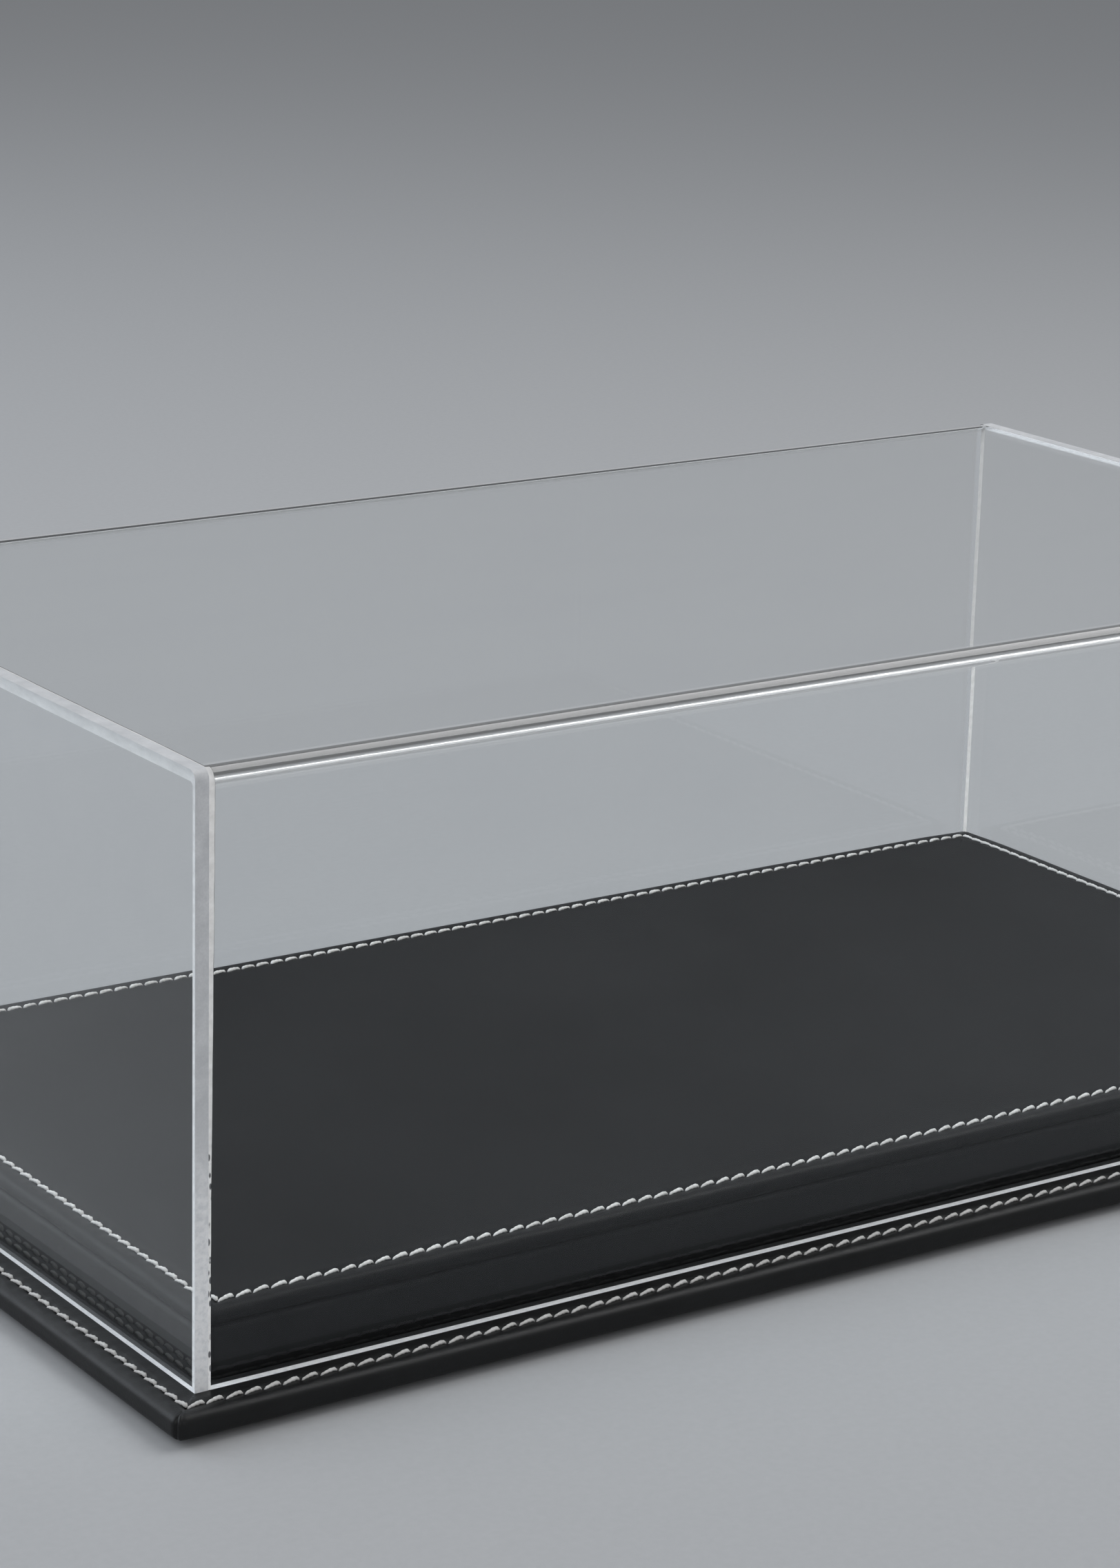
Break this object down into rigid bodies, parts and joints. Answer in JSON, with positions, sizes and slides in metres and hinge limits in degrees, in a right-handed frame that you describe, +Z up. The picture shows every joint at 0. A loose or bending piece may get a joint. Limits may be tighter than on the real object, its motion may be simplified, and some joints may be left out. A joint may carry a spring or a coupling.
{
  "type": "model display case",
  "caption": "Display case for a scale model: a clear box cover lifts straight off a low two-step base wrapped in black stitched leatherette.",
  "frame": {"origin": "on the table under the middle of the base", "axes": "+X along the long side towards the right-hand end, -Y is the front, +Z up"},
  "size_m": [0.366, 0.208, 0.1316],
  "materials": {
    "acrylic": "clear, polished faces, sawn edges left whitish",
    "leatherette": "fine-grained, satin",
    "thread": "twisted, off-white",
    "fibreboard": "raw, fine fibre",
    "padding": "thin foam",
    "lining": "short-pile felt",
    "rubber": "matt",
    "steel": "zinc plated"
  },
  "bodies": {
    "base": {"base_board": "fibreboard", "base_leather": "leatherette", "base_stitching": "thread", "base_lining": "lining", "foot_front_left": "rubber", "foot_front_right": "rubber", "foot_rear_left": "rubber", "foot_rear_right": "rubber", "plinth_block": "fibreboard", "plinth_side_leather": "leatherette", "panel_board": "fibreboard", "panel_padding": "padding", "panel_leather": "leatherette", "panel_stitching": "thread", "plinth_screw_1": "steel", "plinth_screw_2": "steel", "plinth_screw_3": "steel", "plinth_screw_4": "steel", "plinth_screw_5": "steel", "plinth_screw_6": "steel"},
    "cover": {"cover_sheet": "acrylic", "cover_end_left": "acrylic", "cover_end_right": "acrylic"}
  },
  "joints": [
    {"name": "cover_lift", "type": "slide", "parent": "base", "child": "cover", "axis": [0, 0, 1], "range_m": [0, 0.15]}
  ]
}
